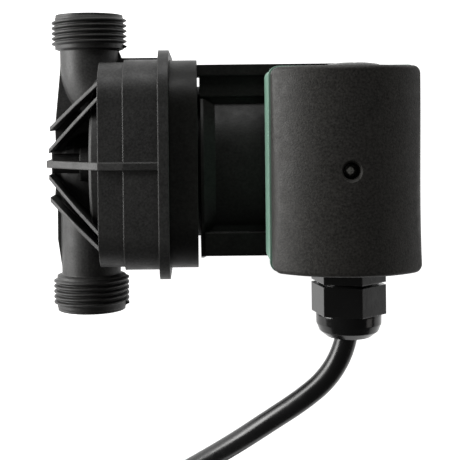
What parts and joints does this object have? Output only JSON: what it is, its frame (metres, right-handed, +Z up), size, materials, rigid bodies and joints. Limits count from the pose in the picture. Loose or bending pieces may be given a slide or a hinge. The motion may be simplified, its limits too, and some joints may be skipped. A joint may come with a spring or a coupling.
{
  "type": "wet rotor circulator pump",
  "caption": "Small in-line wet rotor circulation pump with threaded ports, ribbed volute housing, arched terminal box, cable gland and mains lead.",
  "frame": {"origin": "centre of the pump's footprint on the surface it lies on, its lead left out", "axes": "+X along the motor shaft from the ports to the motor's end, +Y from the inlet port to the outlet port, +Z up, out of the terminal box cover"},
  "size_m": [0.1469, 0.3349, 0.138],
  "materials": {
    "housing_moulding": "matt glass-filled moulding",
    "rubber_seal": "plain",
    "steel_plain": "deep drawn",
    "impeller_plastic": "natural moulding",
    "ceramic_shaft": "ground",
    "carbon_bush": "ground carbon",
    "rotor_steel": "sleeved",
    "motor_paint": "semi-gloss black paint",
    "screw_steel": "zinc plated",
    "lamination_steel": "stacked laminations",
    "insulator_plastic": "moulded",
    "winding_copper": "enamelled copper",
    "brass_plug": "turned",
    "base_green": "matt moulding",
    "cover_grey": "fine texture",
    "capacitor_case": "moulded",
    "knob_black": "fine texture",
    "gland_black": "moulded nylon",
    "lead_sheath": "smooth sheath",
    "tie_black": "moulded",
    "core_sheath": "insulated cores, brown, blue and green and yellow",
    "ferrule_tin": "tinned"
  },
  "bodies": {
    "casing": {"pump_housing": "housing_moulding", "housing_seal": "rubber_seal", "wear_ring": "steel_plain", "front_bearing": "carbon_bush", "rear_bearing": "carbon_bush", "bearing_plate": "steel_plain", "rotor_can": "steel_plain", "can_seal": "rubber_seal", "motor_flange": "motor_paint", "flange_screws": "screw_steel", "motor_housing": "motor_paint", "stator_core": "lamination_steel", "slot_insulators": "insulator_plastic", "stator_windings": "winding_copper", "motor_end_cap": "motor_paint", "vent_plug": "brass_plug", "vent_seal": "rubber_seal", "terminal_box_base": "base_green", "box_fixing_screws": "screw_steel", "box_gasket": "rubber_seal", "terminal_box_cover": "cover_grey", "cover_screw": "screw_steel", "terminal_block": "insulator_plastic", "terminal_screws": "brass_plug", "run_capacitor": "capacitor_case", "selector_switch": "insulator_plastic", "gland_body": "gland_black", "gland_locknut": "gland_black", "gland_seal": "rubber_seal", "gland_nut": "gland_black", "mains_lead": "lead_sheath", "lead_coil": "lead_sheath", "coil_tie": "tie_black", "lead_tail": "lead_sheath", "lead_cores": "core_sheath", "core_ferrules": "ferrule_tin"},
    "rotor": {"impeller_shroud": "impeller_plastic", "impeller": "impeller_plastic", "rotor_shaft": "ceramic_shaft", "thrust_washer": "carbon_bush", "rotor_core": "rotor_steel"},
    "selector": {"selector_knob": "knob_black"}
  },
  "joints": [
    {"name": "rotor_spin", "type": "hinge", "parent": "casing", "child": "rotor", "pos_m": [0.02, 0, 0.046], "axis": [1, 0, 0], "continuous": true},
    {"name": "selector_turn", "type": "hinge", "parent": "casing", "child": "selector", "pos_m": [0.0519, 0.0378, 0.1033], "axis": [0, 1, 0], "range_deg": [-60, 60]}
  ]
}
